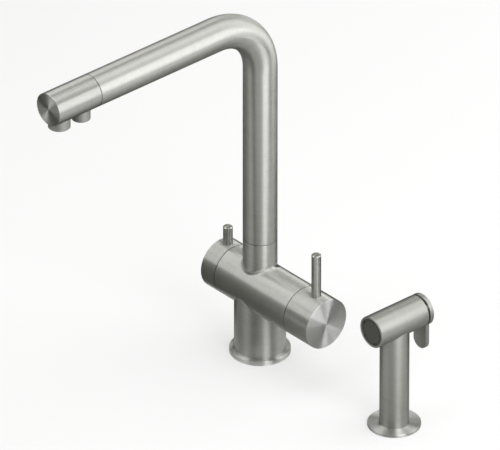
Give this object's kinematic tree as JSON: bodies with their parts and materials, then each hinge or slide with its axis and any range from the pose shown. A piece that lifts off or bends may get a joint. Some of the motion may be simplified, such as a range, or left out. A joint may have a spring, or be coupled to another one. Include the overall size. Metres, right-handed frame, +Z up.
{
  "type": "side spray kitchen faucet",
  "caption": "Deck-mounted faucet with a swivelling L-shaped spout, pin levers on both ends of a cross barrel, paired outlets, and a separate pull-out side spray with a rear trigger.",
  "frame": {"origin": "centre of the faucet's foot on the deck surface, at the mouth of the thread for its shank", "axes": "+Z up from the deck; the spout reaches along -Y; the mixer and the side spray are at +X"},
  "size_m": [0.2406, 0.2784, 0.3518],
  "materials": {
    "satin_steel": "satin, finely brushed round each bar and in circles on each end",
    "steel_fastener": "turned",
    "spring_steel": "drawn wire",
    "brass": "turned",
    "white_plastic": "moulded",
    "black_plastic": "moulded",
    "grey_plastic": "moulded",
    "seal_rubber": "smooth",
    "face_rubber": "fine matt grain"
  },
  "bodies": {
    "faucet": {"base_flange": "satin_steel", "base_gasket": "seal_rubber", "faucet_body": "satin_steel", "lower_bush": "white_plastic", "upper_bush": "black_plastic", "stop_screw": "steel_fastener", "filter_tube_seal": "seal_rubber", "mixer_cartridge": "black_plastic", "cartridge_seals": "seal_rubber", "diverter": "black_plastic", "mixer_nut": "brass", "mixer_guide": "white_plastic", "filter_headwork": "brass", "filter_nut": "brass", "filter_guide": "white_plastic", "spray_foot": "satin_steel", "spray_gasket": "seal_rubber", "guide_liner": "white_plastic"},
    "spout": {"swivel": "brass", "swivel_seals": "seal_rubber", "spout_tube": "satin_steel", "filter_tube": "white_plastic", "spout_head": "satin_steel", "head_seal": "seal_rubber", "head_screw": "steel_fastener", "front_outlet": "satin_steel", "rear_outlet": "satin_steel", "front_aerator": "grey_plastic", "rear_aerator": "grey_plastic", "outlet_washers": "seal_rubber", "filter_elbow": "white_plastic"},
    "mixer": {"mixer_cap": "satin_steel", "mixer_lever": "satin_steel", "mixer_spindle": "steel_fastener"},
    "filter": {"filter_cap": "satin_steel", "filter_lever": "satin_steel", "filter_spindle": "steel_fastener"},
    "hand_spray": {"spray_handle": "satin_steel", "spray_nipple": "brass", "spray_inlet": "white_plastic", "spray_head": "satin_steel", "spray_face": "face_rubber", "valve_block": "black_plastic", "block_seal": "seal_rubber", "valve_seat": "brass", "return_spring": "spring_steel", "trigger_pin": "steel_fastener"},
    "trigger": {"trigger_plate": "satin_steel"},
    "plunger": {"valve_plunger": "steel_fastener"}
  },
  "joints": [
    {"name": "spout_swivel", "type": "hinge", "parent": "faucet", "child": "spout", "pos_m": [0, 0, 0.114], "axis": [0, 0, 1], "range_deg": [-90, 90]},
    {"name": "mixer_turn", "type": "hinge", "parent": "faucet", "child": "mixer", "pos_m": [0.0713, 0, 0.0659], "axis": [1, 0, 0], "range_deg": [0, 100]},
    {"name": "filter_turn", "type": "hinge", "parent": "faucet", "child": "filter", "pos_m": [-0.0427, 0, 0.0659], "axis": [1, 0, 0], "range_deg": [0, 90]},
    {"name": "spray_lift", "type": "slide", "parent": "faucet", "child": "hand_spray", "axis": [0, 0, 1], "range_m": [0, 0.15]},
    {"name": "trigger_press", "type": "hinge", "parent": "hand_spray", "child": "trigger", "pos_m": [0.1661, 0.03445, 0.1108], "axis": [-1, 0, 0], "range_deg": [0, 5], "stiffness_Nm_per_rad": 0.457, "springref_deg": -6.93},
    {"name": "plunger_push", "type": "slide", "parent": "hand_spray", "child": "plunger", "axis": [0, -1, 0], "range_m": [0, 0.00121], "deforming": ["return_spring"]}
  ],
  "couplings": [
    {"joint": "plunger_push", "follows": "trigger_press", "m_per_rad": 0.0138}
  ]
}
